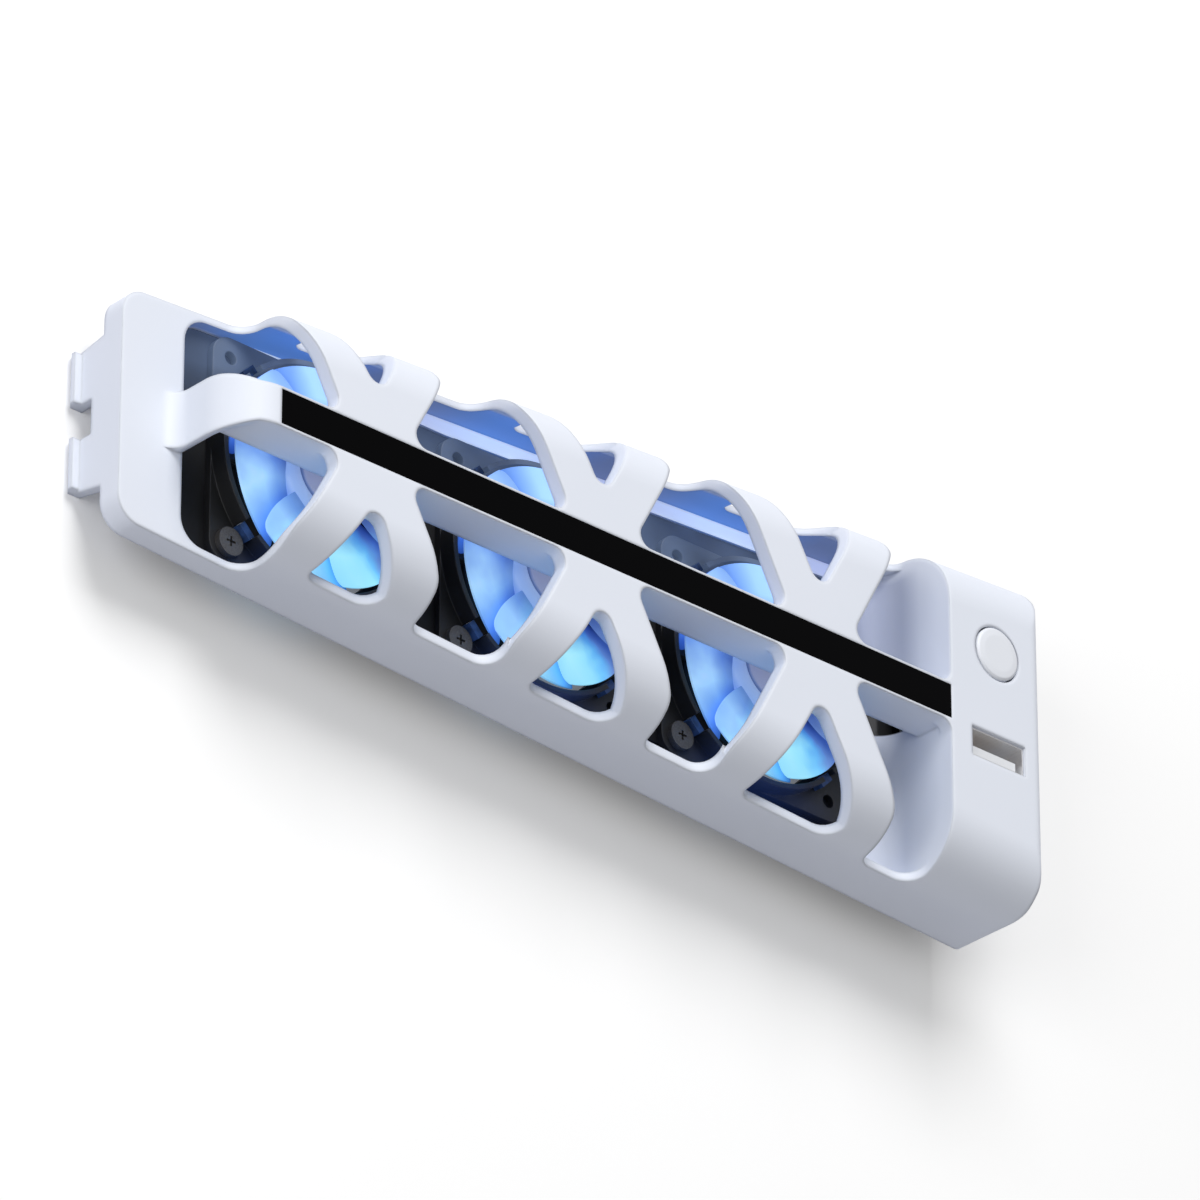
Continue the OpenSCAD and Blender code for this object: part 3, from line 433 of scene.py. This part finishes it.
for k in fans:
    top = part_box(f"rotor_{k}")[1].z
    points, tags = blades(fan_axis[k], top)
    hub_points = turned(hub_profile, fan_axis[k], top, steps=96)
    radius = np.broadcast_to(hub_profile[None, :, :1] / hub_r, hub_points.shape[:3])
    for piece in (skin(f"rotor_blades_{k}", points, blade_glow, **tags),
                  skin(f"rotor_hub_{k}", hub_points, hub_glow, radius=radius)):
        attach(piece, f"rotor_{k}")
        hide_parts(f"rotor_{k}")
shaft_steel = worked_metal("ground_steel", "#C2C4C8", "#8C8E94", rough=0.25, grit=0.12, drawn=sheet_stack)
ferrite = worked_metal("sintered_ferrite", "#3A3B3E", "#2A2B2D", rough=0.6, grit=0.4, drawn=round_grit)
dress(shaft_steel, *[f"shaft_{k}" for k in fans])
dress(ferrite, *[f"magnet_{k}" for k in fans])

# Side lights: four small blocks with a clear silicone lens, standing on the ears in notches of each duct.
# Their light leaves towards the blades, so from outside the lens is a dim, slightly cloudy navy.
lens, place = new_material("silicone_lens")
haze_size = 1.5 * mm
haze = add_node(lens, "ShaderNodeTexNoise", {"Vector": place},
                {"Scale": 1 / haze_size, "Detail": 1.0}).outputs["Fac"]
inner = add_node(lens, "ShaderNodeValToRGB", {"Fac": haze},
                 stops=((0.35, "#16243E"), (0.65, "#243A62"))).outputs["Color"]
dome = add_node(lens, "ShaderNodeBsdfPrincipled", {"Base Color": inner, "Emission Color": inner},
                {"Roughness": 0.3, "IOR": 1.41, "Emission Strength": 0.3})
dress(show(lens, dome), *[f"leds_{k}" for k in fans])

# Screws: cold headed steel. Wide heads hold the fans, and pan heads hold the back plate and the board.
# The fan screws are blackened, which looks dull and grey, and the others are zinc plated and brighter.
blackened = worked_metal("blackened_steel", "#7A7876", "#5C5A58", rough=0.6, grit=0.3, drawn=round_grit)
zinc = worked_metal("zinc_plated_steel", "#C6C9CF", "#9A9DA4", rough=0.35, grit=0.3, drawn=round_grit)
dress(blackened, "fan_screws")
dress(zinc, "cover_screws", "board_screws")

# Supply ribbon: two flat conductors in black PVC, laid in a groove of the back plate.
# It is extruded, so its skin is smooth and satin.
ribbon_pvc = moulded_plastic("black_pvc", "#16161A", "#101014", rough=0.38, grain=0.3, edge=0.15)
dress(ribbon_pvc, "power_ribbon")

# Main board, its push switch and the white cap: the cap's stem rests on the plunger in the switch body.
# The board is green laminate, the body is black nylon and the plunger is grey acetal.
# The cap is the cover's ABS with a little more polish, so its crown takes a small highlight.
switch_nylon = moulded_plastic("black_nylon", "#17181A", "#101113", rough=0.45, grain=0.3, edge=0.2)
plunger_acetal = moulded_plastic("grey_acetal", "#A9ABAE", "#9C9EA2", rough=0.35, grain=0.3, edge=0.15)
cap_abs = moulded_plastic("white_polished_abs", "#E7EAF1", "#E2E5EC", rough=0.48, grain=0.5, edge=0.5)
dress(green_mask, "main_board")
dress(switch_nylon, "switch_body")
dress(plunger_acetal, "switch_plunger")
dress(cap_abs, "button_cap")

# Socket and plug: folded nickel plated shells, white insulating tongues and gold plated contacts.
# The shells are stamped from drawn strip, so their gloss has fine lines along the fold.
# A little grey light is painted into the socket's depth: its shell glows faintly.
drawn_strip = (1, 1, 0.05)
plug_nickel, socket_nickel = (
    worked_metal(name, "#E8E7E6", "#D6D5D3", rough=0.4, grit=0.2, drawn=drawn_strip)
    for name in ("nickel_plated_brass", "socket_nickel_painted_light"))
# Painted light: the socket's shell glows a faint grey.
sockets(socket_nickel)["Emission Color"].default_value = linear("#8E9098")
sockets(socket_nickel)["Emission Strength"].default_value = 0.22
tongue = moulded_plastic("white_crystal_polymer", "#E4E6EA", "#DCDFE4", rough=0.4, grain=0.3, edge=0.12)
gold = worked_metal("gold_plated_bronze", "#E3BE6A", "#C79C48", rough=0.25, grit=0.2, drawn=drawn_strip)
dress(plug_nickel, "plug_shell")
dress(socket_nickel, "port_shell")
dress(tongue, "port_tongue", "plug_tongue")
dress(gold, "port_contacts", "plug_contacts")

# Stage: a wide floor of pale paper under the hooks, two soft boxes, and the photograph's viewing angle.
# The floor is white to the camera and to mirrors, and greyer to the light that it sends back up.
half_floor, paper_size = 6.0, 80 * mm
floor_mesh = bpy.data.meshes.new("floor")
floor_mesh.from_pydata([(-half_floor, -half_floor, 0), (half_floor, -half_floor, 0),
                        (half_floor, half_floor, 0), (-half_floor, half_floor, 0)], [], [(0, 1, 2, 3)])
floor = bpy.data.objects.new("floor", floor_mesh)
collection.objects.link(floor)
pale_floor, place = new_material("pale_studio_floor")
paper = add_node(pale_floor, "ShaderNodeTexNoise", {"Vector": place},
                 {"Scale": 1 / paper_size, "Detail": 2.0}).outputs["Fac"]
tint = add_node(pale_floor, "ShaderNodeMapRange", {"Value": paper},
                {"To Min": 0.93, "To Max": 0.95}).outputs["Result"]
matte = add_node(pale_floor, "ShaderNodeBsdfDiffuse", {"Color": tint})
lift = add_node(pale_floor, "ShaderNodeEmission", inputs={"Strength": 0.12})
seen = add_node(pale_floor, "ShaderNodeAddShader", {0: matte.outputs[0], 1: lift.outputs[0]})
bounce = add_node(pale_floor, "ShaderNodeBsdfDiffuse", inputs={"Color": linear("#C4C6D0")})
ray = add_node(pale_floor, "ShaderNodeLightPath").outputs
mirrored = add_node(pale_floor, "ShaderNodeMath",
                    {0: ray["Is Glossy Ray"], 1: ray["Is Transmission Ray"]}, operation="MAXIMUM")
looked_at = add_node(pale_floor, "ShaderNodeMath",
                     {0: ray["Is Camera Ray"], 1: mirrored.outputs[0]}, operation="MAXIMUM")
stage_paper = add_node(pale_floor, "ShaderNodeMixShader",
                       {0: looked_at.outputs[0], 1: bounce.outputs[0], 2: seen.outputs[0]})
floor_mesh.materials.append(show(pale_floor, stage_paper))


def softbox(name, at, size, watts):
    """A square area lamp at a point, turned so that its face looks at the origin."""
    lamp = bpy.data.lights.new(name, "AREA")
    lamp.energy, lamp.size = watts, size
    box = bpy.data.objects.new(name, lamp)
    box.location = at
    box.rotation_euler = (-Vector(at)).to_track_quat("-Z", "Y").to_euler()
    box.visible_camera = False
    collection.objects.link(box)


softbox("key_softbox", (-0.3, 1.1, 1.2), size=1.0, watts=20.6)
softbox("end_softbox", (-1.4, -0.2, 0.7), size=0.9, watts=8.2)

world = bpy.data.worlds.new("studio")
bpy.context.scene.world = world
world.use_nodes = True
sky = world.node_tree.nodes["Background"].inputs
sky["Color"].default_value = (1.0, 1.0, 1.0, 1.0)
sky["Strength"].default_value = 0.36

toward_camera, photo_up = Vector((-0.5903, -0.4802, 0.6488)), Vector((-0.3232, 0.8771, 0.3552))
target, distance = Vector((0.004, -0.002, 0.018)), 1.78
camera = bpy.data.cameras.new("camera")
camera.lens, camera.sensor_width = 300, 36
camera.clip_start, camera.clip_end = 0.05, 50
eye = bpy.data.objects.new("camera", camera)
back = toward_camera.normalized()
right = photo_up.cross(back).normalized()
up = back.cross(right)
turned_to = Matrix((right, up, back)).transposed().to_4x4()
eye.matrix_world = Matrix.Translation(target + back * distance) @ turned_to
collection.objects.link(eye)
bpy.context.scene.camera = eye
bpy.context.scene.view_settings.view_transform = "Standard"
